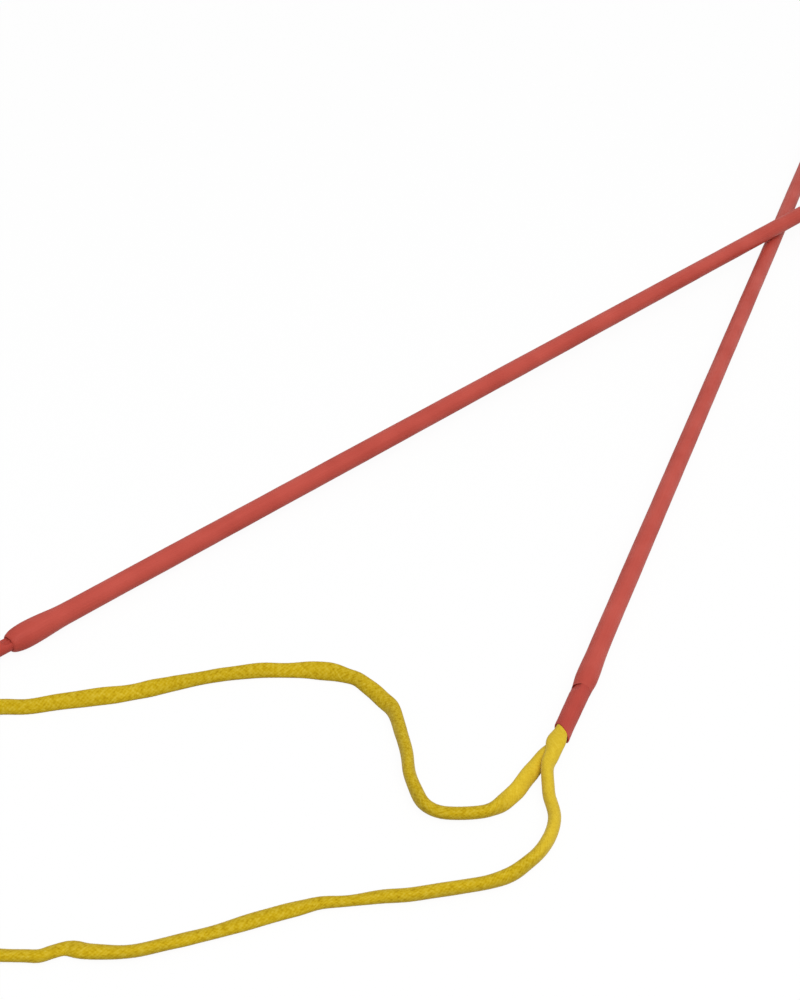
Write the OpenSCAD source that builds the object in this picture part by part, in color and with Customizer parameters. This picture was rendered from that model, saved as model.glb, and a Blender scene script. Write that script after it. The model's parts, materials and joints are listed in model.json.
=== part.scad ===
// Two-stick bubble wand: two sleeved sticks, laid crossed on the ground, whose tips
// are tied together by two strands of soft cord. Sizes are in millimetres.

/* [Sticks] */
// Length of a stick, from the mouth of its cord tube to its handle end
stick_len = 750; // [700:5:1000]
// Diameter of the wooden core
core_d = 8; // [7:0.5:10]
// Wall of the red sleeve round the core
sleeve_wall = 0.55; // [0.4:0.05:1]

/* [Tip] */
// Diameter of the swelling where the sleeve is stretched over the knot
swell_d = 10.8; // [10.4:0.1:13]
// Length of the swelling, from its lip to the plain sleeve
swell_len = 33; // [30:1:45]
// Distance of the swelling's thickest place from its lip
swell_peak = 10; // [8:0.5:14]
// Diameter of the cord tube that stands out of the lip
tube_d = 7.4; // [6.8:0.1:8]
// Wall of the cord tube
tube_wall = 0.7; // [0.5:0.1:1]
// Length of cord tube that shows, up to the zero point just in front of the mouth's middle
tube_out = 32; // [24:1:45]
// Length of cord tube held inside the swelling
tube_seat = 12; // [9:0.5:14]
// Slant of the cut across the mouth, in degrees
mouth_slant = 42; // [20:1:48]

/* [Cord] */
// Diameter of the soft cord
cord_d = 6; // [4:0.5:6.5]
// Diameter of a strand where it is squeezed together with the other one at a tip
cord_nip_d = 4.4; // [3.5:0.1:5]
// Length of the two strands pressed side by side outside the mouth
tail_out = 10; // [7:0.5:14]
// Width of the two strands pressed side by side
tail_w = 8.8; // [7:0.2:9]

/* [Handle end] */
// Length of the soft end cap
cap_len = 24; // [16:1:40]
// Wall of the end cap
cap_wall = 0.75; // [0.6:0.05:1.5]
// Thickness of the end cap's closed end
cap_floor = 2; // [1:0.5:4]
// Rounding of the end cap's closed end
cap_round = 3; // [1:0.5:4]

/* [Layout] */
// How far the left tip lies to the left of the right tip
tip_dx = 265; // [255:1:275]
// How far the left tip lies behind the right tip
tip_dy = 41; // [35:1:50]
// Heading of the left stick, counted from the x axis, in degrees
left_heading = 46.2; // [44:0.1:48]
// Heading of the right stick, counted from the x axis, in degrees
right_heading = 71.3; // [70:0.1:73]
// Gap between the two sticks where the left one lies over the right one
cross_gap = 0.5; // [0.3:0.1:1]

/* [Hidden] */
$fn = 64;
red = "#bd5349";
wood = "#d8b98a";
yellow = "#c8ac30";

// Clearance between pieces that are pushed or glued together
fit = 0.05;
// Gap of the cord to the mouth and of a strand to the round end of its tail
cord_gap = 0.3;
// Length of the lip that grips the cord tube, and the thickness of its edge
lip_grip = 5;
lip_edge = 0.35;
// Chamfer on the core's ends
core_chamfer = 0.8;
// Strand thickness, number and tilt of the wraps in the squeezed knot
wrap_d = 3.4;
wrap_count = 2;
wrap_tilt = 16;
// Steps of the swelling's curved outline, and sides of the swept cord
curve_steps = 12;
cord_sides = 10;

// Radii of a stick, and its stations along the axis from the mouth at 0
sleeve_r = core_d / 2 + fit + sleeve_wall;
swell_r = swell_d / 2;
tube_r = tube_d / 2;
cap_r = sleeve_r + fit + cap_wall;
lip_r = tube_r + fit + lip_edge;
peak_s = tube_out + swell_peak;
swell_end_s = tube_out + swell_len;
tube_end_s = tube_out + tube_seat;
core_start_s = swell_end_s;
core_end_s = stick_len - cap_floor - fit;
cap_start_s = stick_len - cap_len;
// Middle of the slanted mouth from the zero point, and how far its sides lie from that
mouth_s = 1.5;
mouth_reach = tube_r * tan(mouth_slant);
stem_d = tube_d - 2 * tube_wall - 2 * fit;
tail_end_s = -tail_out - tail_w / 2;

// Directions in plan, and how far along each stick the two axes cross
function heading_dir(a) = [cos(a), sin(a)];
function cross2(u, v) = u[0] * v[1] - u[1] * v[0];
left_dir = heading_dir(left_heading);
right_dir = heading_dir(right_heading);
tip_step = [tip_dx, -tip_dy];
left_cross_s = cross2(tip_step, right_dir) / cross2(left_dir, right_dir);
right_cross_s = cross2(tip_step, left_dir) / cross2(left_dir, right_dir);

// The right stick rests on its swelling and its cap, and the left stick rests on
// its swelling and across the right stick.
right_tilt = asin((cap_r - swell_r) / (cap_start_s - peak_s));
function right_height(s) = swell_r + (s - peak_s) * sin(right_tilt);
cross_height = right_height(right_cross_s) + 2 * sleeve_r + cross_gap;
left_tilt = asin((cross_height - swell_r) / (left_cross_s - peak_s));
function left_height(s) = swell_r + (s - peak_s) * sin(left_tilt);

// The origin is the middle of the box round the two sticks, on the ground.
ends = [
    tail_end_s * right_dir,
    stick_len * right_dir,
    tail_end_s * left_dir - tip_step,
    stick_len * left_dir - tip_step
];
ends_x = [for (p = ends) p[0]];
ends_y = [for (p = ends) p[1]];
right_mouth = -[max(ends_x) + min(ends_x), max(ends_y) + min(ends_y)] / 2;
left_mouth = right_mouth - tip_step;

// Points where a stick swings on its cord: the round end of each tail
right_pivot = concat(right_mouth - tail_out * right_dir, right_height(-tail_out));
left_pivot = concat(left_mouth - tail_out * left_dir, left_height(-tail_out));

// Routes of the two strands, from the right tip to the left tip: x and y from the
// right mouth, and the lift above the ground on which the cord lies
upper_route = [
    [-8.5, -12, 0.9], [-12.5, -19.5, 0.3], [-17, -27.5, 0], [-20.5, -34.5, 0], [-24.5, -40, 0],
    [-30, -45, 0], [-37, -47, 0], [-45, -47.5, 0], [-52.5, -46.5, 0], [-58, -42.5, 0], [-61, -35, 0],
    [-64, -23, 0], [-65, -10, 0], [-67.5, 4, 0], [-70, 17, 0], [-73, 26, 0], [-79, 33, 0],
    [-88, 41.5, 0], [-97, 46.5, 0], [-106, 48, 0], [-117, 48, 0], [-130, 47.5, 0], [-143, 45, 0],
    [-156, 42, 0], [-166, 38.5, 0], [-177, 34, 0], [-188, 30.5, 0], [-200, 28, 0], [-214, 25.5, 0],
    [-228, 22, 0], [-241, 21.5, 0], [-252, 17, 0], [-261, 13, 0], [-270, 12, 0], [-276, 16.5, 0],
    [-277, 23, 0.5], [-274, 29, 1.2]
];
lower_route = [
    [-5, -14.5, 3], [-7, -19, 2.4], [-7.5, -25, 1.4], [-7.5, -31, 0.5], [-7.5, -37, 0],
    [-6.5, -43, 0], [-6, -49, 0], [-7, -56, 0], [-9.5, -63.5, 0], [-13.5, -71, 0], [-18.5, -77, 0],
    [-24.5, -83, 0], [-32, -87, 0], [-42, -89.5, 0], [-54, -92, 0], [-83, -96, 0], [-106, -101, 0],
    [-117, -105, 0], [-129, -110, 0], [-142, -115, 0], [-160, -122, 0], [-168, -124, 0],
    [-177, -124, 0], [-185, -122.5, 0], [-191, -121.5, 0], [-197, -124, 0], [-203, -126, 0],
    [-236, -127, 0], [-258, -124, 0], [-279, -117, 0], [-298, -105, 0], [-312, -88, 0],
    [-320, -68, 0], [-321, -46, 0], [-316, -24, 0], [-306, -4, 0], [-296, 10, 0], [-288, 20, 0.8],
    [-282, 27, 2], [-277, 31, 3]
];

// Lays a stick, modelled upright with its mouth at the origin, on the ground.
module lay_left() {
    translate(concat(left_mouth, left_height(0)))
        rotate([0, 90 - left_tilt, left_heading])
            children();
}

module lay_right() {
    translate(concat(right_mouth, right_height(0)))
        rotate([0, 90 - right_tilt, right_heading])
            children();
}

// Outside radius of the sleeve between the thickest place and the plain sleeve
function swell_at(s) =
    sleeve_r + (swell_r - sleeve_r) * (1 + cos(180 * (s - peak_s) / (swell_end_s - peak_s))) / 2;

// Everything on the far side of the slanted mouth from the handle, moved out by a gap
module outside_mouth(gap) {
    size = 6 * tube_d;
    translate([0, 0, mouth_s])
        rotate([mouth_slant, 0, 0])
            translate([-size / 2, -size / 2, -size - gap])
                cube(size);
}

// Turned wooden dowel with broken edges
module core() {
    color(wood)
        rotate_extrude()
            polygon([
                [0, core_start_s],
                [core_d / 2 - core_chamfer, core_start_s],
                [core_d / 2, core_start_s + core_chamfer],
                [core_d / 2, core_end_s - core_chamfer],
                [core_d / 2 - core_chamfer, core_end_s],
                [0, core_end_s]
            ]);
}

// Thin soft sleeve: plain on the core, swollen over the knot, rounded in to a lip
module sleeve() {
    swell_steps = [for (i = [0:curve_steps]) peak_s + (swell_end_s - peak_s) * i / curve_steps];
    lip_steps = [for (i = [1:curve_steps]) 90 * i / curve_steps];
    outside = concat(
        [[sleeve_r, core_end_s]],
        [for (i = [curve_steps:-1:0]) [swell_at(swell_steps[i]), swell_steps[i]]],
        [for (a = lip_steps) [lip_r + (swell_r - lip_r) * cos(a), peak_s - swell_peak * sin(a)]]
    );
    inside = concat(
        [[tube_r + fit, tube_out], [tube_r + fit, tube_out + lip_grip]],
        [for (s = swell_steps) [swell_at(s) - sleeve_wall, s]],
        [[sleeve_r - sleeve_wall, core_end_s]]
    );
    color(red)
        rotate_extrude()
            polygon(concat(outside, inside));
}

// Thin tube that guides the two strands out of the tip, cut off on a slant
module cord_tube() {
    start = mouth_s - mouth_reach - 1;
    color(red)
        difference() {
            translate([0, 0, start])
                cylinder(d = tube_d, h = tube_end_s - start);
            translate([0, 0, start - 1])
                cylinder(d = tube_d - 2 * tube_wall, h = tube_end_s - start + 2);
            outside_mouth(0);
        }
}

// One squeezed turn of cord in the knot
module wrap(s, tilt) {
    ring_r = swell_at(s + wrap_d) - sleeve_wall - cord_gap - wrap_d / 2;
    translate([0, 0, s])
        rotate([tilt, 0, 0])
            rotate_extrude()
                intersection() {
                    translate([ring_r, 0])
                        circle(d = wrap_d);
                    translate([0, -wrap_d])
                        square([ring_r + wrap_d, 2 * wrap_d]);
                }
}

// Section of two strands pressed side by side
module pair_section() {
    side = (tail_w - stem_d) / 2;
    for (y = [-side, side])
        translate([0, y])
            circle(d = stem_d);
    square([stem_d, 2 * side], center = true);
}

// Cord end: the knot in the swelling, the doubled strand in the tube, and the pair
// of strands that shows outside the mouth, with a round end
module knot() {
    first_wrap = tube_end_s + wrap_d;
    last_wrap = core_start_s - wrap_d;
    pitch = (last_wrap - first_wrap) / (wrap_count - 1);
    color(yellow) {
        translate([0, 0, -tail_out])
            cylinder(d = stem_d, h = tail_out + tube_end_s);
        translate([0, 0, tube_end_s - wrap_d])
            cylinder(d = wrap_d, h = last_wrap - tube_end_s + wrap_d);
        for (i = [0:wrap_count - 1])
            wrap(first_wrap + i * pitch, i % 2 == 0 ? wrap_tilt : -wrap_tilt);
        intersection() {
            translate([0, 0, tail_end_s])
                linear_extrude(mouth_s + mouth_reach - tail_end_s)
                    pair_section();
            outside_mouth(cord_gap);
            union() {
                translate([0, 0, -tail_out])
                    sphere(d = tail_w);
                translate([0, 0, -tail_out])
                    cylinder(d = tail_w + 1, h = tail_out + mouth_s + mouth_reach);
            }
        }
    }
}

// Soft cap with a rounded closed end, pushed over the sleeve
module cap() {
    color(red)
        difference() {
            rotate_extrude()
                polygon(concat(
                    [[0, cap_start_s], [cap_r, cap_start_s]],
                    [for (i = [0:curve_steps])
                        let (a = 90 * i / curve_steps)
                        [cap_r - cap_round + cap_round * cos(a),
                            stick_len - cap_round + cap_round * sin(a)]],
                    [[0, stick_len]]
                ));
            translate([0, 0, cap_start_s - 1])
                cylinder(r = sleeve_r + fit, h = cap_len - cap_floor + 1);
        }
}

// Tube swept along a route. Its ends are squeezed, as a strand is where it meets the
// other one, and a ring of points stands square to the route at each of its points.
function unit(v) = v / norm(v);
function route_dir(path, i) =
    unit(path[min(i + 1, len(path) - 1)] - path[max(i - 1, 0)]);
function ring_radius(i, n) =
    let (from_end = min(i, n - 1 - i))
    from_end == 0 ? cord_nip_d / 2 : from_end == 1 ? (cord_nip_d + cord_d) / 4 : cord_d / 2;
function ring(path, i) =
    let (
        dir = route_dir(path, i),
        side = unit(cross(dir, [0, 0, 1])),
        up = cross(side, dir),
        r = ring_radius(i, len(path))
    )
    [for (k = [0:cord_sides - 1])
        let (a = 360 * (k + 0.5) / cord_sides)
        path[i] + r * (cos(a) * side + sin(a) * up)];

function on_ground(route) =
    [for (p = route) [right_mouth[0] + p[0], right_mouth[1] + p[1], cord_d / 2 + p[2]]];
function route_len(path, i = 1) =
    i == len(path) ? 0 : norm(path[i] - path[i - 1]) + route_len(path, i + 1);

module strand(route) {
    path = on_ground(route);
    last = len(path) - 1;
    points = [for (i = [0:last]) each ring(path, i)];
    sides = [for (i = [0:last - 1], k = [0:cord_sides - 1])
        let (
            a = i * cord_sides + k,
            b = i * cord_sides + (k + 1) % cord_sides
        )
        each [[a, b, b + cord_sides], [a, b + cord_sides, a + cord_sides]]];
    start = [for (k = [cord_sides - 1:-1:0]) k];
    finish = [for (k = [0:cord_sides - 1]) last * cord_sides + k];
    color(yellow)
        polyhedron(points, concat(sides, [start, finish]), convexity = 10);
}

module left_core() lay_left() core();
module left_sleeve() lay_left() sleeve();
module left_cord_tube() lay_left() cord_tube();
module left_knot() lay_left() knot();
module left_cap() lay_left() cap();
module right_core() lay_right() core();
module right_sleeve() lay_right() sleeve();
module right_cord_tube() lay_right() cord_tube();
module right_knot() lay_right() knot();
module right_cap() lay_right() cap();
module upper_cord() strand(upper_route);
module lower_cord() strand(lower_route);

echo(left_pivot = left_pivot, right_pivot = right_pivot);
echo(left_tilt = left_tilt, right_tilt = right_tilt, cap_r = cap_r, sleeve_r = sleeve_r);
echo(left_mouth = left_mouth, right_mouth = right_mouth, mouth_z = [left_height(0), right_height(0)]);
echo(upper_len = route_len(on_ground(upper_route)), lower_len = route_len(on_ground(lower_route)));

left_core();
left_sleeve();
left_cord_tube();
left_knot();
left_cap();
right_core();
right_sleeve();
right_cord_tube();
right_knot();
right_cap();
upper_cord();
lower_cord();
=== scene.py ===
# %% [markdown]
# # A two-stick bubble wand
# Two red sticks are tied together at their tips by two strands of soft yellow cord. The strands
# are dipped in soap water. When the sticks open like scissors, the strands spread into a loop that
# pulls a giant bubble. The solid model of the wand is already there, so this lesson only dresses
# it: camera and light first, then the cord, the red sleeves, tubes and caps, and the wood inside.

# %% Load the solid model
import json
import math
import bpy
import numpy as np
from mathutils import Matrix, Vector


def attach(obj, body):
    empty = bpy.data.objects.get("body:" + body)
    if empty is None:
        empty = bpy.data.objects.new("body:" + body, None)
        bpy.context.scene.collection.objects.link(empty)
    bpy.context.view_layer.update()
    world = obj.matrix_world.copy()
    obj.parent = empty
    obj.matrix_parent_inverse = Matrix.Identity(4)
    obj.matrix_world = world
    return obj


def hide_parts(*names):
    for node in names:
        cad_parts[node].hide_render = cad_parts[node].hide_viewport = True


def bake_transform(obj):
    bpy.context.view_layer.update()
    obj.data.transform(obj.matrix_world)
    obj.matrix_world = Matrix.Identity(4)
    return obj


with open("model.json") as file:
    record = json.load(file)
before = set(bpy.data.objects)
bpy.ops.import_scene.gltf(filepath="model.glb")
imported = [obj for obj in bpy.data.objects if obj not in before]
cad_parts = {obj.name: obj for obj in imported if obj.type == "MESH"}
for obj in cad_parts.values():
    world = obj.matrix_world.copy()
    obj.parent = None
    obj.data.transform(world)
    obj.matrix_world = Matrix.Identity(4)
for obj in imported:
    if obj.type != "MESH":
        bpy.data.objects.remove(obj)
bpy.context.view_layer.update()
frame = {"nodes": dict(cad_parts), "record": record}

MM = 0.001

# %% [markdown]
# ## Camera
# The camera comes first, because every later choice is judged through it. It looks 32 degrees
# down along +Y from half a metre above the ground. A 72 mm lens on the default 36 mm sensor is a
# short telephoto, so the far ends of the sticks stay nearly as thick as the near ones.

# %% Camera
CAMERA_PLACE = (-0.0574, -1.0085, 0.534)
LOOK_DOWN = 32
LENS = 72
SENSOR = 36

bpy.ops.object.select_all(action="DESELECT")
bpy.ops.object.camera_add(location=CAMERA_PLACE, rotation=(math.radians(90 - LOOK_DOWN), 0, 0))
camera = bpy.context.object
camera.name = "photo_camera"
camera.data.lens = LENS
camera.data.sensor_width = SENSOR
bpy.context.scene.camera = camera
print("camera at", tuple(round(v, 3) for v in camera.location))

# %% [markdown]
# ## Small helpers for the finishes
# Colours are written as sRGB hex codes, as a paint chart gives them. Blender mixes light in
# linear values, so one function turns a code into those. Another adds one node to a material
# with its settings and what feeds it, which keeps each finish short enough to read.

# %% Colour and node helpers
WHITE = (1.0, 1.0, 1.0, 1.0)


def linear(code):
    """sRGB hex code to linear RGBA."""
    parts = [int(code[i:i + 2], 16) / 255 for i in (1, 3, 5)]
    return tuple(c / 12.92 if c <= 0.04045 else ((c + 0.055) / 1.055) ** 2.4 for c in parts) + (1.0,)


def add_node(tree, kind, settings=None, inputs=None):
    """Adds a node. Settings are its own fields; inputs are values, or sockets that feed it."""
    node = tree.nodes.new(kind)
    for field, value in (settings or {}).items():
        setattr(node, field, value)
    for socket, value in (inputs or {}).items():
        if isinstance(value, bpy.types.NodeSocket):
            tree.links.new(value, node.inputs[socket])
        else:
            node.inputs[socket].default_value = value
    return node


def new_finish(name):
    """An empty material with its output node."""
    finish = bpy.data.materials.new(name)
    finish.use_nodes = True
    finish.node_tree.nodes.clear()
    output = finish.node_tree.nodes.new("ShaderNodeOutputMaterial")
    return finish, finish.node_tree, output


print("red in linear light:", tuple(round(v, 3) for v in linear("#C0544A")))

# %% [markdown]
# ## Floor
# The wand lies on a white sweep. A lamp strong enough to whiten the floor would wash out the
# wand's colours, so the floor is a plain plane that partly shines by itself. To the camera, and to
# anything glossy or clear, it is mostly plain white. Only the rest is a matte grey, on which the
# light and the wand's shadow fall.

# %% Floor
FLOOR_SIZE = 30
FLOOR_GREY = (0.5, 0.5, 0.5, 1.0)
WHITE_SHARE = 0.88
# A little over 1, because the grey share of the floor is darker than white.
WHITE_SHINE = 1.07


def seen_share(tree, share, rest):
    """Socket: rest, and share more for rays that show the backdrop to the eye or in a gloss."""
    rays = add_node(tree, "ShaderNodeLightPath")
    seen = add_node(tree, "ShaderNodeMath", {"operation": "MAXIMUM"},
                    {0: rays.outputs["Is Camera Ray"], 1: rays.outputs["Is Glossy Ray"]})
    seen = add_node(tree, "ShaderNodeMath", {"operation": "MAXIMUM"},
                    {0: seen.outputs[0], 1: rays.outputs["Is Transmission Ray"]})
    return add_node(tree, "ShaderNodeMath", {"operation": "MULTIPLY_ADD"},
                    {0: seen.outputs[0], 1: share, 2: rest}).outputs[0]


bpy.ops.object.select_all(action="DESELECT")
bpy.ops.mesh.primitive_plane_add(size=FLOOR_SIZE, location=(0, 0, 0))
floor = bpy.context.object
floor.name = "floor"
paper, tree, output = new_finish("white_paper_sweep")
matte = add_node(tree, "ShaderNodeBsdfDiffuse", None, {"Color": FLOOR_GREY})
white = add_node(tree, "ShaderNodeEmission", None, {"Color": WHITE, "Strength": WHITE_SHINE})
mixed = add_node(tree, "ShaderNodeMixShader", None,
                 {0: seen_share(tree, WHITE_SHARE, 0.0), 1: matte.outputs[0], 2: white.outputs[0]})
tree.links.new(mixed.outputs[0], output.inputs["Surface"])
floor.data.materials.append(paper)
print("floor:", FLOOR_SIZE, "m wide")

# %% [markdown]
# ## Light
# One large soft panel hangs above the camera and a little to its right, so that round things are
# lightest near the middle and darker along both edges. An even sky fills the shadows. It lights
# the wand like a grey one, but it is seen as white as the floor.

# %% Panel light and sky
PANEL_PLACE = (0.55, -1.65, 2.1)
PANEL_AIM = (0.0, -0.1, 0.0)
PANEL_SIZE = 2.4
PANEL_POWER = 44.5
SKY_LIGHT = 0.54

bpy.ops.object.light_add(type="AREA", location=PANEL_PLACE)
panel = bpy.context.object
panel.name = "soft_panel"
panel.data.shape = "SQUARE"
panel.data.size = PANEL_SIZE
panel.data.energy = PANEL_POWER
panel.rotation_euler = (Vector(PANEL_AIM) - panel.location).to_track_quat("-Z", "Y").to_euler()
sky = bpy.data.worlds.new("studio_sky")
sky.use_nodes = True
backdrop = sky.node_tree.nodes["Background"]
backdrop.inputs["Color"].default_value = WHITE
strength = seen_share(sky.node_tree, 1 - SKY_LIGHT, SKY_LIGHT)
sky.node_tree.links.new(strength, backdrop.inputs["Strength"])
bpy.context.scene.world = sky
bpy.context.scene.view_settings.view_transform = "Standard"
print("panel", PANEL_POWER, "W, sky", SKY_LIGHT)

# %% [markdown]
# ## Where the sticks lie
# Each stick's red pieces are modelled upright round the Z axis, with the middle of the tip's
# mouth at zero and the handle upwards, and laid down at the end. The record's handle mounts give
# the axis of each stick and a point on it, 736.5 mm from the mouth, so the lay is worked out.

# %% Stick frames
MOUNT_TO_MOUTH = 736.5 * MM


def stick_frame(mount_name):
    """Matrix from a stick's upright frame to where it lies: x down, y left, z to the handle."""
    mount = next(m for m in frame["record"]["mounts"] if m["name"] == mount_name)
    axis = Vector(mount["axis"]).normalized()
    mouth = Vector(mount["pos_m"]) - axis * MOUNT_TO_MOUTH
    left = Vector((0, 0, 1)).cross(axis).normalized()
    down = left.cross(axis)
    lay = Matrix((down, left, axis)).transposed().to_4x4()
    lay.translation = mouth
    return lay


LAY = {"left": stick_frame("left_handle_end"), "right": stick_frame("right_handle_end")}
for side, lay in LAY.items():
    print(side, "mouth at", [round(v, 4) for v in lay.translation])

# %% [markdown]
# ## Cord: its route
# The cord is soft, about 6 mm thick and a little flat. Both strands start in the right stick's
# tube, lie loose on the ground and end in the left stick's tube. A curve object with a round
# bevel would be quick, but it can't flatten, roll over or show yarns, so the cord is swept by
# code. The same round-number points as in the solid model give the route, in millimetres from
# the right mouth. The third number is the lift off the ground. In each tip the lower strand lies
# on the upper one.

# %% Cord route
CORD_D = 6.0 * MM
UPPER_ROUTE = [
    (-8.5, -12, 0.9), (-12.5, -19.5, 0.3), (-17, -27.5, 0), (-20.5, -34.5, 0), (-24.5, -40, 0),
    (-30, -45, 0), (-37, -47, 0), (-45, -47.5, 0), (-52.5, -46.5, 0), (-58, -42.5, 0), (-61, -35, 0),
    (-64, -23, 0), (-65, -10, 0), (-67.5, 4, 0), (-70, 17, 0), (-73, 26, 0), (-79, 33, 0),
    (-88, 41.5, 0), (-97, 46.5, 0), (-106, 48, 0), (-117, 48, 0), (-130, 47.5, 0), (-143, 45, 0),
    (-156, 42, 0), (-166, 38.5, 0), (-177, 34, 0), (-188, 30.5, 0), (-200, 28, 0), (-214, 25.5, 0),
    (-228, 22, 0), (-241, 21.5, 0), (-252, 17, 0), (-261, 13, 0), (-270, 12, 0), (-276, 16.5, 0),
    (-277, 23, 0.5), (-274, 29, 1.2),
]
LOWER_ROUTE = [
    (-5, -14.5, 3), (-7, -19, 2.4), (-7.5, -25, 1.4), (-7.5, -31, 0.5), (-7.5, -37, 0),
    (-6.5, -43, 0), (-6, -49, 0), (-7, -56, 0), (-9.5, -63.5, 0), (-13.5, -71, 0), (-18.5, -77, 0),
    (-24.5, -83, 0), (-32, -87, 0), (-42, -89.5, 0), (-54, -92, 0), (-83, -96, 0), (-106, -101, 0),
    (-117, -105, 0), (-129, -110, 0), (-142, -115, 0), (-160, -122, 0), (-168, -124, 0),
    (-177, -124, 0), (-185, -122.5, 0), (-191, -121.5, 0), (-197, -124, 0), (-203, -126, 0),
    (-236, -127, 0), (-258, -124, 0), (-279, -117, 0), (-298, -105, 0), (-312, -88, 0),
    (-320, -68, 0), (-321, -46, 0), (-316, -24, 0), (-306, -4, 0), (-296, 10, 0), (-288, 20, 0.8),
    (-282, 27, 2), (-277, 31, 3),
]


def in_tip(side, places):
    """Points of a strand in a tip, from (down, left, along) in millimetres of that stick."""
    return [LAY[side] @ (Vector(p) * MM) for p in places]


def on_ground(route):
    """Route points at the height of a cord that lies on the ground."""
    mouth = LAY["right"].translation
    return [Vector((mouth.x + x * MM, mouth.y + y * MM, CORD_D / 2 + lift * MM))
            for x, y, lift in route]


upper_points = (
    in_tip("right", [(1.5, 0, 16), (1.5, 0, 8), (1.5, 0.2, 1), (1.7, 1.2, -6)])
    + on_ground(UPPER_ROUTE)
    + in_tip("left", [(1.7, -1.2, -6), (1.5, -0.2, 1), (1.5, 0, 8), (1.5, 0, 16)]))
lower_points = (
    in_tip("right", [(-1.5, 0, 16), (-1.5, 0, 8), (-1.5, 0.3, 1), (-1.6, 0.7, -6)])
    + on_ground(LOWER_ROUTE)
    + in_tip("left", [(-1.6, 0.8, -6), (-1.5, 0, 1), (-1.5, 0, 8), (-1.5, 0, 16)]))
print("route points:", len(upper_points), "and", len(lower_points))

# %% [markdown]
# ## Cord: smooth lines
# A Catmull-Rom curve passes through every point of the route. It is spaced evenly, because each
# of its points becomes one ring of the sweep. Small corners are softened by averaging each point
# with its neighbours, under weights that fall off like a bell.

# %% Smooth lines
RING_STEP = 0.5 * MM
CURVE_STEPS = 24
UPPER_SOFTEN = 2.2 * MM
LOWER_SOFTEN = 2.0 * MM


def even_spacing(line, step):
    """The same line with points an even step apart."""
    gone = np.concatenate([[0], np.cumsum(np.linalg.norm(np.diff(line, axis=0), axis=1))])
    places = np.linspace(0, gone[-1], int(round(gone[-1] / step)) + 1)
    return np.stack([np.interp(places, gone, line[:, k]) for k in range(3)], axis=1)


def smooth_line(points, step, soften):
    """Smooth line through the points, evenly spaced, with small corners softened."""
    p = np.array([tuple(q) for q in points])
    p = np.vstack([2 * p[0] - p[1], p, 2 * p[-1] - p[-2]])
    t = np.linspace(0, 1, CURVE_STEPS, endpoint=False)[:, None]
    pieces = []
    for a, b, c, d in zip(p[:-3], p[1:-2], p[2:-1], p[3:]):
        pieces.append(0.5 * (2 * b + (c - a) * t + (2 * a - 5 * b + 4 * c - d) * t ** 2
                             + (3 * b - a - 3 * c + d) * t ** 3))
    line = even_spacing(np.vstack(pieces + [p[-2:-1]]), step)
    # The bell is cut off at three times its spread, and the line goes on straight past its ends.
    reach = int(round(3 * soften / step))
    weights = np.exp(-0.5 * (np.arange(-reach, reach + 1) * step / soften) ** 2)
    padded = np.vstack([2 * line[0] - line[reach:0:-1], line, 2 * line[-1] - line[-2:-reach - 2:-1]])
    soft = [np.convolve(padded[:, k], weights / weights.sum(), mode="valid") for k in range(3)]
    return even_spacing(np.stack(soft, axis=1), step)


upper_line = smooth_line(upper_points, RING_STEP, UPPER_SOFTEN)
lower_line = smooth_line(lower_points, RING_STEP, LOWER_SOFTEN)
for name, line in (("upper", upper_line), ("lower", lower_line)):
    print(name, "strand with its tails:", round((len(line) - 1) * RING_STEP, 3), "m")

# %% [markdown]
# ## Cord: its braid
# Two families of yarns cross one over one round the cord. Their relief is put into the mesh,
# because a bump alone would leave the outline bare.

# %% Braid
SIDES = 48
YARNS = 12
YARN_STEP = 2.0 * MM
RELIEF = 0.07 * MM


def braid(around, along):
    """Height of the braid from 0 to 1: the upper one of two uneven families of yarns."""
    stray = 0.14 * np.sin(along / (2.9 * MM) + 4 * np.pi * around) + 0.1 * np.sin(along / (1.3 * MM))
    p = YARNS * around + along / YARN_STEP + stray
    q = YARNS * around - along / YARN_STEP + stray
    over = np.cos(np.pi * p) * np.cos(np.pi * q)
    one = np.abs(np.cos(np.pi * p)) ** 0.7 * (0.5 + 0.5 * over)
    other = np.abs(np.cos(np.pi * q)) ** 0.7 * (0.5 - 0.5 * over)
    return np.maximum(one, other)


print("one yarn crosses every", round(YARN_STEP / MM, 1), "mm")

# %% [markdown]
# ## Cord: its section
# A soft braided cord is oval and rolls over as it lies. Where the wide face turns to the eye it
# looks thicker, where the edge does it looks thinner, and at a kink it looks pinched. Each ring of
# the sweep therefore gets a half width, a half height and a roll. A tube presses a strand flat,
# and just outside the mouth it spreads.

# %% Squeeze in the tips
# Distances from a stick's axis, and along it from the mouth, where the free cord is below zero.
BESIDE_FROM, BESIDE_FADE = 16 * MM, 7 * MM
PRESS_FROM, PRESS_FADE = -14 * MM, 18 * MM
SPREAD_AT, SPREAD_REACH = -6 * MM, 5 * MM


def smooth_step(t):
    """0 up to t = 0, 1 from t = 1 on, and an easy rise between."""
    t = np.clip(t, 0, 1)
    return t * t * (3 - 2 * t)


def along_stick(points, side):
    """How far along a stick the points lie, from its mouth."""
    here = np.array(LAY[side].inverted())
    return points @ here[2, :3] + here[2, 3]


def from_axis(points, side):
    """How far from a stick's axis the points lie."""
    here = np.array(LAY[side].inverted())
    return np.linalg.norm(points @ here[:2, :3].T + here[:2, 3], axis=1)


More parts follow.
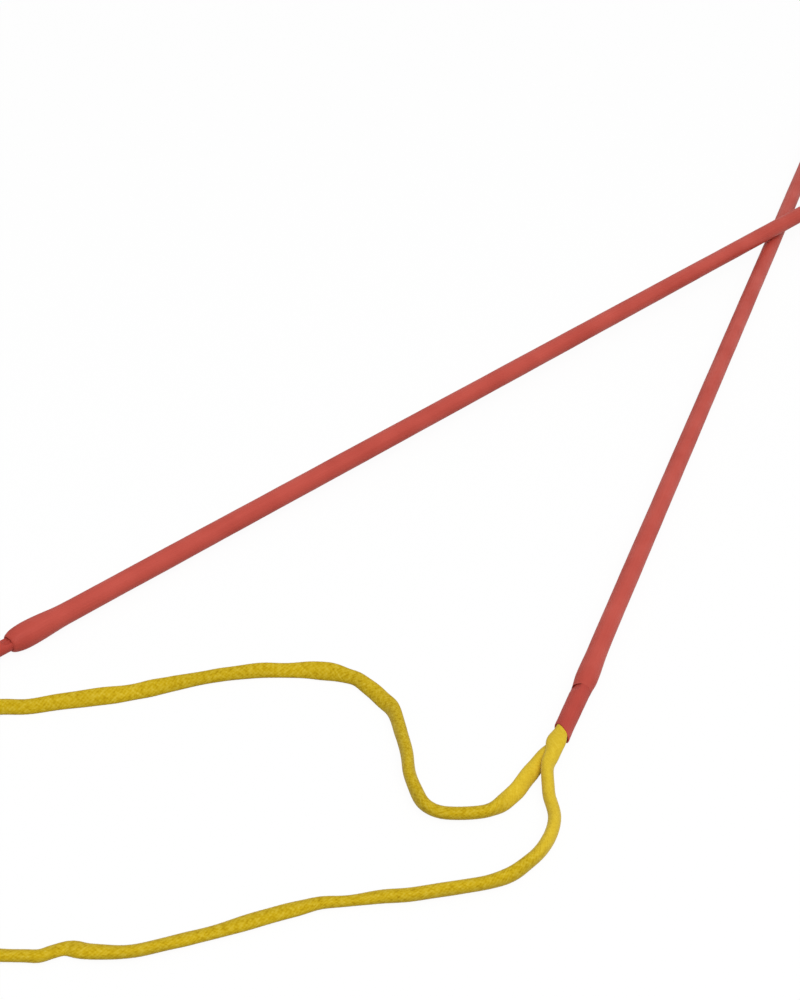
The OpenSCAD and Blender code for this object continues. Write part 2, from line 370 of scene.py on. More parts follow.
def tip_shape(line):
    """Squeeze, 1 in the tubes and 0 on the free cord, and spread, 1 just outside a mouth."""
    squeeze = np.zeros(len(line))
    spread = np.zeros(len(line))
    for side in LAY:
        along = along_stick(line, side)
        beside = smooth_step((BESIDE_FROM - from_axis(line, side)) / BESIDE_FADE)
        pressed = smooth_step((along - PRESS_FROM) / PRESS_FADE)
        bulge = np.exp(-((along - SPREAD_AT) / SPREAD_REACH) ** 2)
        squeeze = np.maximum(squeeze, beside * pressed)
        spread = np.maximum(spread, beside * bulge)
    return squeeze, spread


print("upper strand squeezed in", int((tip_shape(upper_line)[0] > 0.5).sum()), "rings")

# %% Rings of a strand
# Half sizes in a tube in millimetres, then how much a free strand's width and roll wander.
PRESSED_WIDTH, PRESSED_HEIGHT = 2.75, 1.6
WANDER_SHARE, WANDER_DEGREES = 0.02, 8
# Over this length, the paleness painted on the yarn towards each strand end fades out.
PALE_FADE = 16 * MM


def ring_ways(line, turn):
    """Unit vectors along the width and the height of each ring, rolled by its turn."""
    ahead = np.gradient(line, axis=0)
    ahead /= np.linalg.norm(ahead, axis=1, keepdims=True)
    side = np.cross(ahead, [0, 0, 1])
    side /= np.linalg.norm(side, axis=1, keepdims=True)
    up = np.cross(side, ahead)
    cos, sin = np.cos(turn)[:, None], np.sin(turn)[:, None]
    return cos * side + sin * up, cos * up - sin * side


def strand_rings(line, half_width, half_height, roll, spread_by, pale_reach):
    """Ring points, braid heights, paleness towards the ends and ring centres of a strand."""
    squeeze, spread = tip_shape(line)
    free = 1 - squeeze
    along = np.arange(len(line)) * RING_STEP
    slow = np.sin(along / (6.0 * MM)) + 0.7 * np.sin(along / (3.7 * MM) + 1)
    wide = half_width * (1 + WANDER_SHARE * slow) * free + PRESSED_WIDTH * squeeze + spread_by * spread
    wide = wide * MM
    high = (half_height * free + PRESSED_HEIGHT * squeeze) * MM
    turn = np.radians((roll + WANDER_DEGREES * slow) * free)
    width_way, height_way = ring_ways(line, turn)
    # A rolled oval reaches this far below its middle, so that is how high it lies.
    below = np.sqrt((wide * np.sin(turn)) ** 2 + (high * np.cos(turn)) ** 2) + RELIEF / 2
    centres = line.copy()
    centres[:, 2] += (below - CORD_D / 2) * free
    angle = 2 * np.pi * np.arange(SIDES) / SIDES
    height = braid(np.arange(SIDES)[None, :] / SIDES, along[:, None])
    lift = RELIEF * (height - 0.5)
    across = (wide[:, None] + lift) * np.cos(angle)
    upward = (high[:, None] + lift) * np.sin(angle)
    rings = centres[:, None, :] + across[..., None] * width_way[:, None, :]
    rings = rings + upward[..., None] * height_way[:, None, :]
    # The yarn is painted paler towards each end of the strand, up to the reach given.
    from_end = np.minimum(along, along[-1] - along)
    paler_end = np.clip((pale_reach * MM - from_end) / PALE_FADE, 0, 1)
    return rings, height, paler_end, centres


# %% [markdown]
# ## Cord: how the strands lie
# Half widths, half heights in millimetres and rolls in degrees are set at a few stops, which are
# shares of a strand's length, and eased between them. Kinks and bends are a little sharper or
# rounder than the smooth lines, so the lines are nudged there. At its sharpest kink the lower
# strand is pinched. Towards their ends, of which 16 mm are in a tube, both strands are painted paler.

# %% How the strands lie
KINK = (-192, -123)


def eased(count, stops):
    """Values along a strand from (share of the length, value), eased between the stops."""
    share = np.linspace(0, 1, count)
    places, values = np.array(stops, float).T
    k = np.clip(np.searchsorted(places, share, side="right") - 1, 0, len(places) - 2)
    t = smooth_step((share - places[k]) / (places[k + 1] - places[k]))
    return values[k] + (values[k + 1] - values[k]) * t


def near(line, x, y, reach):
    """1 at a place on the ground, in millimetres from the right mouth, fading out at its reach."""
    middle = LAY["right"].translation.xy + Vector((x, y)) * MM
    far = np.linalg.norm(line[:, :2] - np.array(middle), axis=1)
    return np.exp(-(far / (reach * MM)) ** 2)


def nudge(line, places):
    """Moves a line a little near each (x, y, shift in x, shift in y, reach) in millimetres."""
    for x, y, across, back, reach in places:
        line[:, :2] += near(line, x, y, reach)[:, None] * np.array([across, back]) * MM


nudge(upper_line, [
    (-23, -38.5, -0.4, 0.8, 6), (-74, 27, -0.8, -1.2, 6), (-87, 40, 0, 1.2, 5),
    (-102, 47, 0, -0.8, 6), (-144, 45, 0, 0.7, 10), (-184, 31, 0, 0.6, 9)])
upper_width = eased(len(upper_line), [
    (0, 3), (0.07, 3), (0.1, 3.65), (0.34, 3.65), (0.37, 3.5), (0.41, 3.75), (0.445, 3.15),
    (0.475, 4.1), (0.53, 3.3), (0.58, 3.15), (0.6, 2.95), (0.635, 3.35), (0.66, 3.75), (0.69, 3.85),
    (0.72, 3.75), (0.77, 3.5), (0.81, 3.3), (1, 3.5)])
upper_roll = eased(len(upper_line), [
    (0, 0), (0.05, 0), (0.085, 35), (0.14, 45), (0.175, 130), (0.21, 132), (0.25, 95), (0.33, 85),
    (0.35, 76), (0.385, 42), (0.44, 44), (0.88, 40), (0.96, 0), (1, 0)])
upper = strand_rings(upper_line, upper_width, 2.65, upper_roll, spread_by=0.2, pale_reach=74)

nudge(lower_line, [
    (-65, -93.5, 0, -0.8, 8), (-98, -99, 0, 0.9, 7), (-138, -113.5, 0, -0.7, 9),
    (-184, -123, 0, -0.7, 5), (*KINK, 0, 0.4, 3.2), (-200, -126, 0, -0.7, 4), (-220, -126, 0, 1.5, 11)])
lower_width = eased(len(lower_line), [
    (0, 3.2), (0.08, 3.3), (0.2, 3.75), (0.25, 3.65), (0.27, 3.45), (0.295, 2.7),
    (0.33, 3.4), (0.42, 3.4), (0.47, 3.6), (0.52, 3.15), (0.7, 3.3), (1, 3.4)])
lower_height = eased(len(lower_line), [
    (0, 2.6), (0.265, 2.7), (0.295, 2.15), (0.32, 2.5), (0.37, 2.6), (0.4, 2.45), (0.44, 2.45),
    (0.465, 2.7), (0.49, 2.5), (0.52, 2.35), (0.7, 2.6), (1, 2.6)])
lower_roll = eased(len(lower_line), [
    (0, 0), (0.04, 5), (0.07, 75), (0.125, 90), (0.19, 110), (0.225, 128), (0.26, 138), (0.3, 140),
    (0.345, 172), (0.365, 174), (0.4, 142), (0.44, 142), (0.465, 160), (0.481, 180), (0.5, 142),
    (0.75, 140), (0.95, 180), (1, 180)])
pinch = 1 - 0.22 * near(lower_line, *KINK, 3.5)
lower = strand_rings(lower_line, lower_width * pinch, lower_height * pinch, lower_roll,
                     spread_by=1.1, pale_reach=100)
print("rings:", len(upper[0]), "and", len(lower[0]), "of", SIDES, "points")

# %% [markdown]
# ## Cord: strands and tails
# When a stick swings, the cord lying on the ground stays and only its last bit bends. So each
# strand is cut in three. The long middle stays with the loop of cord. The two tails at one tip are
# joined into one piece, which lies between the stick and the loop. The cut is 24 mm out of the mouth.
# A tail reaches a few rings into the strand, a hair thinner, and the strand's end sinks into the
# tail, so that no seam shows.

# %% Sweep
def sweep_piece(name, runs):
    """One mesh from runs of rings: faces, end caps, a map round and along, braid and paleness."""
    points, faces, maps, heights, pale_shares = [], [], [], [], []
    for rings, height, paler_end, first in runs:
        start = len(points)
        n = len(rings)
        points += [tuple(v) for v in rings.reshape(-1, 3)]
        heights += list(height.reshape(-1))
        pale_shares += list(np.repeat(paler_end, SIDES))
        for i in range(n - 1):
            for k in range(SIDES):
                a = start + i * SIDES + k
                b = start + i * SIDES + (k + 1) % SIDES
                faces.append((a, b, b + SIDES, a + SIDES))
                u, v = k / SIDES, (first + i) / SIDES
                maps += [(u, v), (u + 1 / SIDES, v), (u + 1 / SIDES, v + 1 / SIDES), (u, v + 1 / SIDES)]
        faces.append(tuple(range(start + SIDES - 1, start - 1, -1)))
        faces.append(tuple(range(start + (n - 1) * SIDES, start + n * SIDES)))
        maps += [(0.5, first / SIDES)] * SIDES + [(0.5, (first + n) / SIDES)] * SIDES
    mesh = bpy.data.meshes.new(name)
    mesh.from_pydata(points, [], faces)
    mesh.uv_layers.new(name="cord_map").data.foreach_set("uv", np.array(maps, np.float32).ravel())
    for pattern, values in (("braid", heights), ("paler_end", pale_shares)):
        layer = mesh.attributes.new(pattern, "FLOAT", "POINT")
        layer.data.foreach_set("value", np.array(values, np.float32))
    mesh.polygons.foreach_set("use_smooth", [True] * len(mesh.polygons))
    mesh.update()
    piece = bpy.data.objects.new(name, mesh)
    bpy.context.collection.objects.link(piece)
    return piece


# %% Cuts
CUT = -24 * MM
TUCK = 5
TUCK_SHARE = 0.992
# The outermost two rings of each end and how far they shrink.
SINK = ((0, 0.95), (1, 0.985), (-2, 0.985), (-1, 0.95))


def cut_strand(centres):
    """First and last ring of the middle of a strand."""
    first = int(np.argmax(along_stick(centres, "right") < CUT))
    from_end = int(np.argmax(along_stick(centres[::-1], "left") < CUT))
    return first, len(centres) - 1 - from_end


def thinned(rings, end):
    """Copy of a tail's rings, a hair thinner over the part that is tucked into the strand."""
    out = rings.copy()
    part = slice(0, TUCK) if end == "start" else slice(-TUCK, None)
    middle = out[part].mean(axis=1, keepdims=True)
    out[part] = middle + (out[part] - middle) * TUCK_SHARE
    return out


def sunk(rings):
    """Copy of a strand's rings whose ends sink into the tails."""
    out = rings.copy()
    for place, share in SINK:
        middle = out[place].mean(axis=0)
        out[place] = middle + (out[place] - middle) * share
    return out


# %% Strands
tails = {"right": [], "left": []}
cord_pieces = []
for name, strand in (("upper", upper), ("lower", lower)):
    rings, height, paler_end, centres = strand
    first, last = cut_strand(centres)
    part = slice(first, last + 1)
    piece = sweep_piece(name + "_strand", [(sunk(rings[part]), height[part], paler_end[part], first)])
    line = centres[part]
    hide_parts(name + "_cord")
    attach(piece, "cord_loop")
    cord_pieces.append(piece)
    part = slice(0, first + TUCK)
    tails["right"].append((thinned(rings[part], "end"), height[part], paler_end[part], 0))
    part = slice(last - TUCK + 1, None)
    tails["left"].append((thinned(rings[part], "start"), height[part], paler_end[part], last - TUCK + 1))

# %% Tails
for side, runs in tails.items():
    piece = sweep_piece(side + "_tails", runs)
    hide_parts(side + "_knot")
    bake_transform(piece)
    cord_pieces.append(piece)
    print(side, "tails:", len(piece.data.polygons), "faces")

# %% [markdown]
# ## Cord: the finish
# Soft braided cotton: dull, with a faint halo where loose fibres catch the light. The valleys between
# yarns are painted darker and their tops lighter, as painted shade and light of the braid; each yarn
# is a little lighter or darker than the next, and fine fibres run along it. Towards both ends of each
# strand the yarn is painted paler. The map round and along the cord carries the pattern round bends.

# %% Braided cotton
# One turn of the map is about 20 mm round the cord and 24 mm along it, so a scale of MAP_TURN
# over a size in millimetres draws spots of about that size.
MAP_TURN = 20.5
SPOT, FIBRE, PATCH = 1.8, 0.5, 40

cotton, tree, output = new_finish("braided_cotton_yellow")
lie = add_node(tree, "ShaderNodeUVMap", {"uv_map": "cord_map"})
relief = add_node(tree, "ShaderNodeAttribute", {"attribute_name": "braid"})
paleness = add_node(tree, "ShaderNodeAttribute", {"attribute_name": "paler_end"})
spots = add_node(tree, "ShaderNodeTexNoise", None,
                 {"Vector": lie.outputs[0], "Scale": MAP_TURN / SPOT, "Detail": 3.0, "Roughness": 0.6})
fibres = add_node(tree, "ShaderNodeTexNoise", None,
                  {"Vector": lie.outputs[0], "Scale": MAP_TURN / FIBRE, "Detail": 4.0, "Roughness": 0.7})
patches = add_node(tree, "ShaderNodeTexNoise", None,
                   {"Vector": lie.outputs[0], "Scale": MAP_TURN / PATCH, "Detail": 2.0})
# The ramp below is fed by two things. The spots give a tone that differs at random. The braid's height
# adds painted shade, which darkens the valleys between yarns, and painted light, which lifts their tops.
spots_and_braid_shade = add_node(tree, "ShaderNodeMath", {"operation": "MULTIPLY_ADD"},
                 {0: spots.outputs["Fac"], 1: 1.7, 2: -0.57})
spots_and_braid_shade = add_node(tree, "ShaderNodeMath", {"operation": "MULTIPLY_ADD"},
                 {0: relief.outputs["Fac"], 1: 0.5, 2: spots_and_braid_shade.outputs[0]})
yarn = add_node(tree, "ShaderNodeValToRGB", None, {"Fac": spots_and_braid_shade.outputs[0]})
yarn.color_ramp.elements[0].position = 0.05
yarn.color_ramp.elements[0].color = linear("#A58104")
yarn.color_ramp.elements[1].position = 1.0
yarn.color_ramp.elements[1].color = linear("#D8BD3C")
middle = yarn.color_ramp.elements.new(0.5)
middle.color = linear("#C7A712")
tone = add_node(tree, "ShaderNodeMapRange", None,
                {"Value": patches.outputs["Fac"], "From Min": 0.3, "From Max": 0.7,
                 "To Min": 0.93, "To Max": 1.06})
shade = add_node(tree, "ShaderNodeMix", {"data_type": "RGBA", "blend_type": "MULTIPLY"},
                 {0: 1.0, 6: yarn.outputs["Color"], 7: tone.outputs[0]})
# Towards the strand ends the yarn is painted paler, part of the way to this light yellow.
pale = add_node(tree, "ShaderNodeMath", {"operation": "MULTIPLY"}, {0: paleness.outputs["Fac"], 1: 0.5})
shade = add_node(tree, "ShaderNodeMix", {"data_type": "RGBA"},
                 {0: pale.outputs[0], 6: shade.outputs[2], 7: linear("#ECCA3B")})
fuzz = add_node(tree, "ShaderNodeBump", None,
                {"Strength": 0.5, "Distance": 0.15 * MM, "Height": fibres.outputs["Fac"]})
cloth = add_node(tree, "ShaderNodeBsdfPrincipled", None,
                 {"Base Color": shade.outputs[2], "Roughness": 0.9, "Specular IOR Level": 0.1,
                  "Sheen Weight": 0.4, "Sheen Roughness": 0.35, "Sheen Tint": linear("#FFF4D0"),
                  "Normal": fuzz.outputs["Normal"]})
tree.links.new(cloth.outputs[0], output.inputs["Surface"])
for piece in cord_pieces:
    piece.data.materials.append(cotton)
print("cord finish on", len(cord_pieces), "pieces")

# %% [markdown]
# ## Helpers for the red pieces
# Sleeves and caps are solids of revolution: one outline is drawn by extruding a single point, then
# spun into a shell. Small changes follow. Points are picked by their place and pushed, and
# the points around them give way. A faint waviness takes the stiffness out of the surface.

# %% Outline and spin helpers
AROUND = 48


def spin_outline(name, outline):
    """Draws the (radius, place) outline in millimetres from one point and spins it into a shell."""
    bpy.ops.object.select_all(action="DESELECT")
    bpy.ops.mesh.primitive_plane_add(size=2 * MM)
    piece = bpy.context.object
    piece.name = name
    bpy.ops.object.mode_set(mode="EDIT")
    bpy.ops.mesh.select_all(action="SELECT")
    bpy.ops.mesh.merge(type="CENTER")
    bpy.ops.transform.translate(value=(outline[0][0] * MM, 0, outline[0][1] * MM))
    for (r0, s0), (r1, s1) in zip(outline, outline[1:]):
        bpy.ops.mesh.extrude_vertices_move(
            TRANSFORM_OT_translate={"value": ((r1 - r0) * MM, 0, (s1 - s0) * MM)})
    bpy.ops.mesh.select_all(action="SELECT")
    bpy.ops.mesh.spin(steps=AROUND, angle=math.tau, center=(0, 0, 0), axis=(0, 0, 1))
    bpy.ops.mesh.select_all(action="SELECT")
    bpy.ops.mesh.remove_doubles(threshold=0.005 * MM)
    bpy.ops.mesh.normals_make_consistent(inside=False)
    bpy.ops.object.mode_set(mode="OBJECT")
    return piece


def pick(piece, wanted):
    """Selects the points of a piece that a test of their place, in millimetres, accepts."""
    bpy.ops.object.mode_set(mode="EDIT")
    bpy.ops.mesh.select_all(action="DESELECT")
    bpy.ops.object.mode_set(mode="OBJECT")
    for v in piece.data.vertices:
        v.select = bool(wanted(v.co / MM))
    bpy.ops.object.mode_set(mode="EDIT")
    bpy.ops.mesh.select_mode(type="VERT")


def push(way, reach, falloff="SMOOTH"):
    """Moves the picked points by a way in millimetres, and those within reach a part of it."""
    bpy.ops.transform.translate(value=Vector(way) * MM, use_proportional_edit=True,
                                proportional_edit_falloff=falloff, proportional_size=reach * MM)


def uneven(piece, size, height):
    """Faint waviness from hand work: a cloud pattern of that size moves the surface."""
    clouds = bpy.data.textures.new(piece.name + "_clouds", "CLOUDS")
    clouds.noise_scale = size * MM
    wave = piece.modifiers.new("waviness", "DISPLACE")
    wave.texture = clouds
    wave.strength = 2 * height * MM
    bpy.context.view_layer.objects.active = piece
    bpy.ops.object.modifier_apply(modifier=wave.name)


def lay_down(piece, side, body):
    """Keeps the upright place of each point for the finish, lays the piece down and lets it ride."""
    grain = piece.data.attributes.new("upright", "FLOAT_VECTOR", "POINT")
    upright = np.empty(len(piece.data.vertices) * 3, np.float32)
    piece.data.vertices.foreach_get("co", upright)
    grain.data.foreach_set("vector", upright)
    piece.data.transform(LAY[side])
    bpy.ops.object.select_all(action="DESELECT")
    piece.select_set(True)
    bpy.context.view_layer.objects.active = piece
    bpy.ops.object.shade_smooth_by_angle(angle=math.radians(50))
    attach(piece, body)


# %% [markdown]
# ## Red sleeves
# A sleeve is a long soft tube pulled over a dowel. At the tip it is stretched over the knot of
# the cord, and it closes to a lip round the thinner tube that the cord comes out of. After the
# spin the lip gets small puckers and one fold, and the tip is pushed a little to one side.

# %% Sleeve outline
# Places along a stick from the mouth and radii, in millimetres.
LIP_AT, KNOT_AT, RUN_FROM, CORE_END = 32, 42, 65, 747.95
CORE_R = 4.05
TAPER_STEPS, RUN_STEPS = 10, 110
# This share of the run is even. After it the sleeve changes slowly towards the handle.
EVEN_SHARE = 0.34
# Millimetres, except for blunt, a share, and the turn of the fold from straight up to the left, in
# degrees. The two tips were pushed together by hand, so they differ.
TIP = {
    "left": {"run": (4.95, 4.62), "swell": 5.95, "lip": 3.35, "mouth": 3.6, "edge": 0.3,
             "blunt": 1, "turn": 0, "fold": 0.3, "dent": 1.5, "aside": -0.35, "lean": 0.35},
    "right": {"run": (4.5, 4.6), "swell": 4.95, "lip": 4.25, "mouth": 4.05, "edge": 0.06,
              "blunt": 0.1, "turn": 40, "fold": 0.15, "dent": 0.8, "aside": -0.25, "lean": 0.5},
}


def sleeve_outline(tip):
    """Lip, swelling, long plain run, handle end, and back along the inside."""
    hole = tip["lip"] + 0.01
    edge = tip["edge"]
    swell = tip["swell"]
    tip_end, handle_end = tip["run"]
    lip = [(hole, LIP_AT + 5), (hole, LIP_AT + 0.35), (hole + 0.2 * edge, LIP_AT + 0.08),
           (hole + 0.6 * edge, LIP_AT), (hole + edge, LIP_AT + 0.08)]
    foot = hole + 0.75 * edge
    shoulder = []
    for degrees in (76, 68, 60, 51, 42, 32, 22, 11, 0):
        out = math.sin(math.radians(degrees))
        blunt = tip["blunt"] * math.cos(math.radians(degrees))
        sloping = (1 - tip["blunt"]) * (1 + math.cos(math.pi * out)) / 2
        shoulder.append((foot + (swell - foot) * (blunt + sloping), KNOT_AT - (KNOT_AT - LIP_AT) * out))
    taper = []
    for i in range(1, TAPER_STEPS + 1):
        fall = (1 + math.cos(math.pi * i / TAPER_STEPS)) / 2
        taper.append((tip_end + (swell - tip_end) * fall,
                      KNOT_AT + (RUN_FROM - KNOT_AT) * i / TAPER_STEPS))
    run = []
    for i in range(1, RUN_STEPS + 1):
        change = max(0, i / RUN_STEPS - EVEN_SHARE) / (1 - EVEN_SHARE)
        run.append((tip_end + (handle_end - tip_end) * change,
                    RUN_FROM + (CORE_END - RUN_FROM) * i / RUN_STEPS))
    inside = [(CORE_R, CORE_END), (CORE_R, RUN_FROM), (swell - 0.75, KNOT_AT + 8),
              (swell - 0.55, KNOT_AT), (hole, LIP_AT + 5)]
    return lip + shoulder + taper + run + inside


print("sleeve outline:", len(sleeve_outline(TIP["left"])), "points")

# %% Sleeves
AXIS_HEIGHT = 5.4
PUCKERS = 8
PUCKER_DRAW = 0.97
LEAN_REACH = 30


def toward(turn):
    """Unit vector across the stick, turned that many degrees from straight up to the left."""
    return Vector((-math.cos(math.radians(turn)), math.sin(math.radians(turn)), 0))


sleeves = {}
for side, tip in TIP.items():
    piece = spin_outline(side + "_stick_sleeve", sleeve_outline(tip))
    # Narrow strips of the lip are drawn in a little.
    pick(piece, lambda p: LIP_AT - 0.1 < p.z < LIP_AT + 1.6 and p.xy.length > tip["lip"] + 0.2
         and math.cos(PUCKERS * math.atan2(p.y, p.x) + 0.7) > 0.5)
    bpy.ops.transform.resize(value=(PUCKER_DRAW, PUCKER_DRAW, 1), center_override=(0, 0, 0))
    # One fold on top: the lip is pushed in there, and shade gathers under it.
    way = toward(tip["turn"])
    pick(piece, lambda p: LIP_AT - 0.1 < p.z < LIP_AT + 2 and p.dot(way) > 0.95 * p.xy.length
         and p.xy.length > tip["lip"] - 0.1)
    push(-way * tip["fold"], 2.6)
    # The knot lies off centre, so the tip leans to the near side, and it rests on the ground.
    pick(piece, lambda p: p.z < KNOT_AT + 2)
    push((AXIS_HEIGHT - tip["swell"], tip["aside"], 0), LEAN_REACH)
    bpy.ops.object.mode_set(mode="OBJECT")
    uneven(piece, 22, 0.1)
    lay_down(piece, side, side + "_stick")
    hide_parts(side + "_sleeve")
    sleeves[side] = piece
    print(side, "sleeve:", len(piece.data.polygons), "faces")

# %% [markdown]
# ## Cord tubes
# A thinner red tube guides the cord out of the tip. Its mouth was cut on a slant, by hand. A ring
# is pulled out in steps of 1 mm that bring it from the mouth's radius to the lip's, and one slanted
# cut makes the mouth. A dent at the lip shows where the tube gave way when the sleeve was pushed
# on, and the mouth leans a little to one side. The skin then gets a wall and a soft edge.

# %% Tube helpers
TUBE_FROM, TUBE_TO = -4, 44
CHANGE_FROM, CHANGE_OVER = 4, 24
SLANT = math.radians(40)
SLANT_AT = 1.4
WALL, SOFT_EDGE = 0.65, 0.18


def pulled_tube(name, mouth, lip):
    """Skin of a tube with those radii, cut on a slant at the mouth. It stays in edit mode."""
    bpy.ops.object.select_all(action="DESELECT")
    bpy.ops.mesh.primitive_circle_add(vertices=64, radius=mouth * MM, location=(0, 0, TUBE_FROM * MM))
    piece = bpy.context.object
    piece.name = name
    bpy.ops.object.transform_apply(location=True, rotation=True, scale=True)
    bpy.ops.object.mode_set(mode="EDIT")
    bpy.ops.mesh.select_all(action="SELECT")
    radius = mouth
    for place in range(TUBE_FROM + 1, TUBE_TO + 1):
        bpy.ops.mesh.extrude_region_move(TRANSFORM_OT_translate={"value": (0, 0, MM)})
        grown = mouth + (lip - mouth) * min(1, max(0, place - CHANGE_FROM) / CHANGE_OVER)
        bpy.ops.transform.resize(value=(grown / radius, grown / radius, 1), center_override=(0, 0, 0))
        radius = grown
    bpy.ops.mesh.select_all(action="SELECT")
    bpy.ops.mesh.bisect(plane_co=(0, 0, SLANT_AT * MM),
                        plane_no=(0, -math.sin(SLANT), math.cos(SLANT)), clear_inner=True)
    return piece


def thicken(piece):
    """Gives a skin a wall on its inside and soft edges."""
    wall = piece.modifiers.new("wall", "SOLIDIFY")
    wall.thickness = WALL * MM
    wall.offset = -1
    bpy.ops.object.modifier_apply(modifier=wall.name)
    rounding = piece.modifiers.new("soft_edge", "BEVEL")
    rounding.width = SOFT_EDGE * MM
    rounding.segments = 2
    rounding.limit_method = "ANGLE"
    rounding.angle_limit = math.radians(50)
    bpy.ops.object.modifier_apply(modifier=rounding.name)


# %% Cord tubes
tubes = {}
for side, tip in TIP.items():
    piece = pulled_tube(side + "_tip_tube", tip["mouth"], tip["lip"])
    way = toward(tip["turn"])
    pick(piece, lambda p: LIP_AT - 2.5 < p.z < LIP_AT + 0.5 and p.dot(way) > 0.95 * p.xy.length)
    push(-way * tip["dent"], 2.7)
    pick(piece, lambda p: p.z < 6)
    push((0, tip["lean"], 0), LEAN_REACH, "LINEAR")
    bpy.ops.mesh.select_all(action="SELECT")
    bpy.ops.transform.translate(value=((AXIS_HEIGHT - tip["swell"]) * MM, tip["aside"] * MM, 0))
    bpy.ops.mesh.normals_make_consistent(inside=False)
    bpy.ops.object.mode_set(mode="OBJECT")
    thicken(piece)
    uneven(piece, 9, 0.08)
    lay_down(piece, side, side + "_stick")
    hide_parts(side + "_cord_tube")
    tubes[side] = piece
    print(side, "tube:", len(piece.data.polygons), "faces")

# %% [markdown]
# ## End caps
# The handle end has a short soft cap, dipped or moulded, with a thick rim and a rounded end. It
# is spun from its outline like the sleeve, with a bead at the rim where it was trimmed.

# %% End caps
CAP_RIM, CAP_END = 726, 750
CAP_BORE, CAP_R, CAP_ROUND = 4.66, 5.4, 3
CAP_FLOOR = CORE_END + 0.1

rim = [(CAP_BORE, CAP_RIM + 1), (CAP_BORE, CAP_RIM + 0.2), (4.8, CAP_RIM), (5.3, CAP_RIM),
       (5.5, CAP_RIM + 0.2), (5.56, CAP_RIM + 0.6), (5.5, CAP_RIM + 1.1)]
body = [(CAP_R, CAP_RIM + 1.6), (5.38, 732), (5.36, 738), (5.38, 744)]
end = [(CAP_R - CAP_ROUND + CAP_ROUND * math.cos(math.radians(d)),
        CAP_END - CAP_ROUND + CAP_ROUND * math.sin(math.radians(d))) for d in range(0, 91, 10)]
close = [(1.2, CAP_END), (0, CAP_END)]
inside = [(0, CAP_FLOOR), (CAP_BORE, CAP_FLOOR), (CAP_BORE, CAP_RIM + 1)]
caps = {}
for side in ("left", "right"):
    piece = spin_outline(side + "_end_cap", rim + body + end + close + inside)
    uneven(piece, 8, 0.04)
    lay_down(piece, side, side + "_stick")
    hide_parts(side + "_cap")
    caps[side] = piece
    print(side, "cap:", len(piece.data.polygons), "faces")

# %% [markdown]
# ## Red finish
# Soft PVC tube, extruded: matte, with a wide dull highlight. It is dyed through, so the colour
# only drifts a little. Faint lines run along it from the die, and handling leaves cloudy, slightly
# shinier patches. The kept upright place of each point lets the lines follow the stick. The thin
# cord tubes are a shade deeper than the sleeves.

# %% Extruded soft PVC
CLOUD, GRIT = 25 * MM, 0.9 * MM
LINE_WIDTH, LINE_LENGTH = 0.6 * MM, 60 * MM


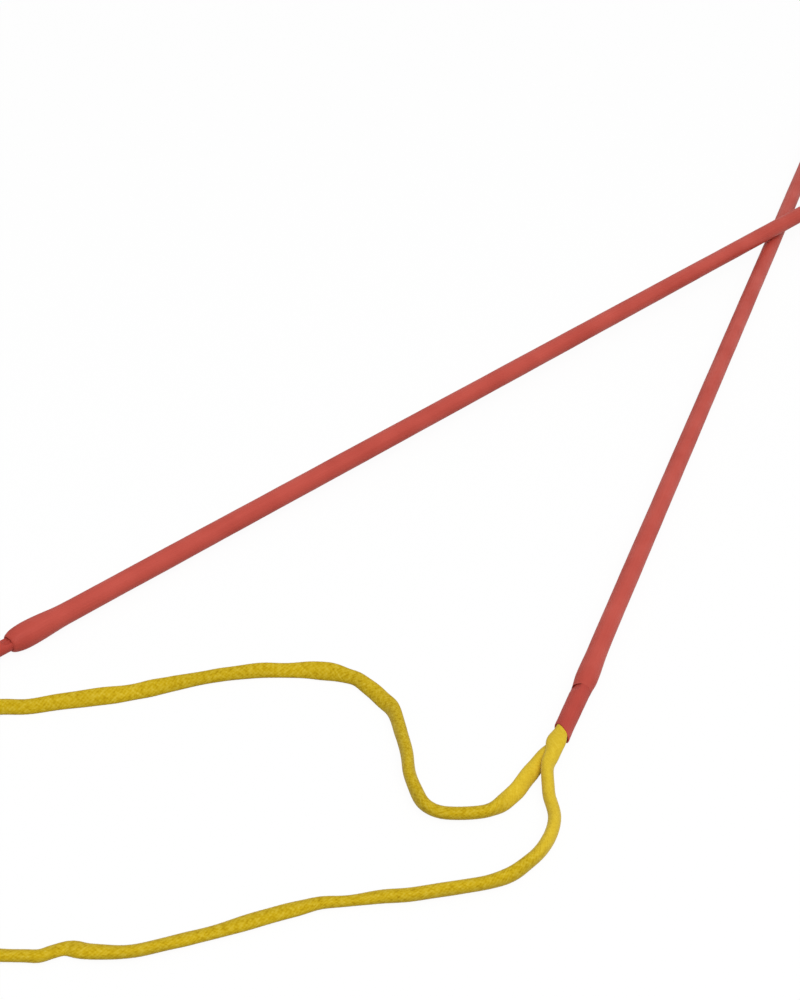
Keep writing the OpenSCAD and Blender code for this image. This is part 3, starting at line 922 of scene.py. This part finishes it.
def soft_pvc(name, deep, light):
    """Matte dyed vinyl that drifts between two colours."""
    finish, tree, output = new_finish(name)
    place = add_node(tree, "ShaderNodeAttribute", {"attribute_name": "upright"})
    clouds = add_node(tree, "ShaderNodeTexNoise", None,
                      {"Vector": place.outputs["Vector"], "Scale": 1 / CLOUD, "Detail": 4.0})
    stretch = add_node(tree, "ShaderNodeMapping", None,
                       {"Vector": place.outputs["Vector"],
                        "Scale": (1 / LINE_WIDTH, 1 / LINE_WIDTH, 1 / LINE_LENGTH)})
    lines = add_node(tree, "ShaderNodeTexNoise", None,
                     {"Vector": stretch.outputs[0], "Scale": 1.0, "Detail": 2.0})
    grit = add_node(tree, "ShaderNodeTexNoise", None,
                    {"Vector": place.outputs["Vector"], "Scale": 1 / GRIT, "Detail": 3.0})
    drift = add_node(tree, "ShaderNodeMath", {"operation": "MULTIPLY_ADD"},
                     {0: lines.outputs["Fac"], 1: 0.35, 2: clouds.outputs["Fac"]})
    dye = add_node(tree, "ShaderNodeValToRGB", None, {"Fac": drift.outputs[0]})
    dye.color_ramp.elements[0].position = 0.4
    dye.color_ramp.elements[0].color = linear(deep)
    dye.color_ramp.elements[1].position = 0.95
    dye.color_ramp.elements[1].color = linear(light)
    dull = add_node(tree, "ShaderNodeMapRange", None,
                    {"Value": clouds.outputs["Fac"], "From Min": 0.3, "From Max": 0.7,
                     "To Min": 0.62, "To Max": 0.48})
    relief = add_node(tree, "ShaderNodeMath", {"operation": "MULTIPLY_ADD"},
                      {0: lines.outputs["Fac"], 1: 0.6, 2: grit.outputs["Fac"]})
    skin = add_node(tree, "ShaderNodeBump", None,
                    {"Strength": 0.25, "Distance": 0.12 * MM, "Height": relief.outputs[0]})
    vinyl = add_node(tree, "ShaderNodeBsdfPrincipled", None,
                     {"Base Color": dye.outputs["Color"], "Roughness": dull.outputs[0], "IOR": 1.5,
                      "Specular IOR Level": 0.22, "Normal": skin.outputs["Normal"]})
    tree.links.new(vinyl.outputs[0], output.inputs["Surface"])
    return finish


sleeve_red = soft_pvc("soft_pvc_sleeve_red", "#B24337", "#C65346")
tube_red = soft_pvc("soft_pvc_tube_red", "#A93A30", "#BE4A3D")
for group, finish in ((sleeves, sleeve_red), (tubes, tube_red), (caps, sleeve_red)):
    for piece in group.values():
        piece.data.materials.clear()
        piece.data.materials.append(finish)
    print(finish.name, "on", [piece.name for piece in group.values()])

# %% [markdown]
# ## Wooden cores
# The dowels inside are hidden, but a library part may be taken apart. Their solids are right, so
# they only get a beech finish: pale, with short darker flecks along the grain. Each dowel has a
# finish of its own, because the grain is turned with the stick.

# %% Beech cores
FLECK_WIDTH, FLECK_LENGTH = 1.2 * MM, 14 * MM
for side, lay in LAY.items():
    beech, tree, output = new_finish("turned_beech_" + side)
    place = add_node(tree, "ShaderNodeTexCoord")
    turned = add_node(tree, "ShaderNodeMapping", {"vector_type": "TEXTURE"},
                      {"Vector": place.outputs["Object"], "Rotation": tuple(lay.to_euler()),
                       "Scale": (FLECK_WIDTH, FLECK_WIDTH, FLECK_LENGTH)})
    flecks = add_node(tree, "ShaderNodeTexNoise", None,
                      {"Vector": turned.outputs[0], "Scale": 1.0, "Detail": 5.0})
    wood = add_node(tree, "ShaderNodeValToRGB", None, {"Fac": flecks.outputs["Fac"]})
    wood.color_ramp.elements[0].position = 0.35
    wood.color_ramp.elements[0].color = linear("#B98F5C")
    wood.color_ramp.elements[1].position = 0.62
    wood.color_ramp.elements[1].color = linear("#DCBE93")
    pores = add_node(tree, "ShaderNodeBump", None,
                     {"Strength": 0.3, "Distance": 0.1 * MM, "Height": flecks.outputs["Fac"]})
    timber = add_node(tree, "ShaderNodeBsdfPrincipled", None,
                      {"Base Color": wood.outputs["Color"], "Roughness": 0.6,
                       "Normal": pores.outputs["Normal"]})
    tree.links.new(timber.outputs[0], output.inputs["Surface"])
    for slot in frame["nodes"][side + "_core"].material_slots:
        slot.material = beech
    print(side, "core finish:", beech.name)
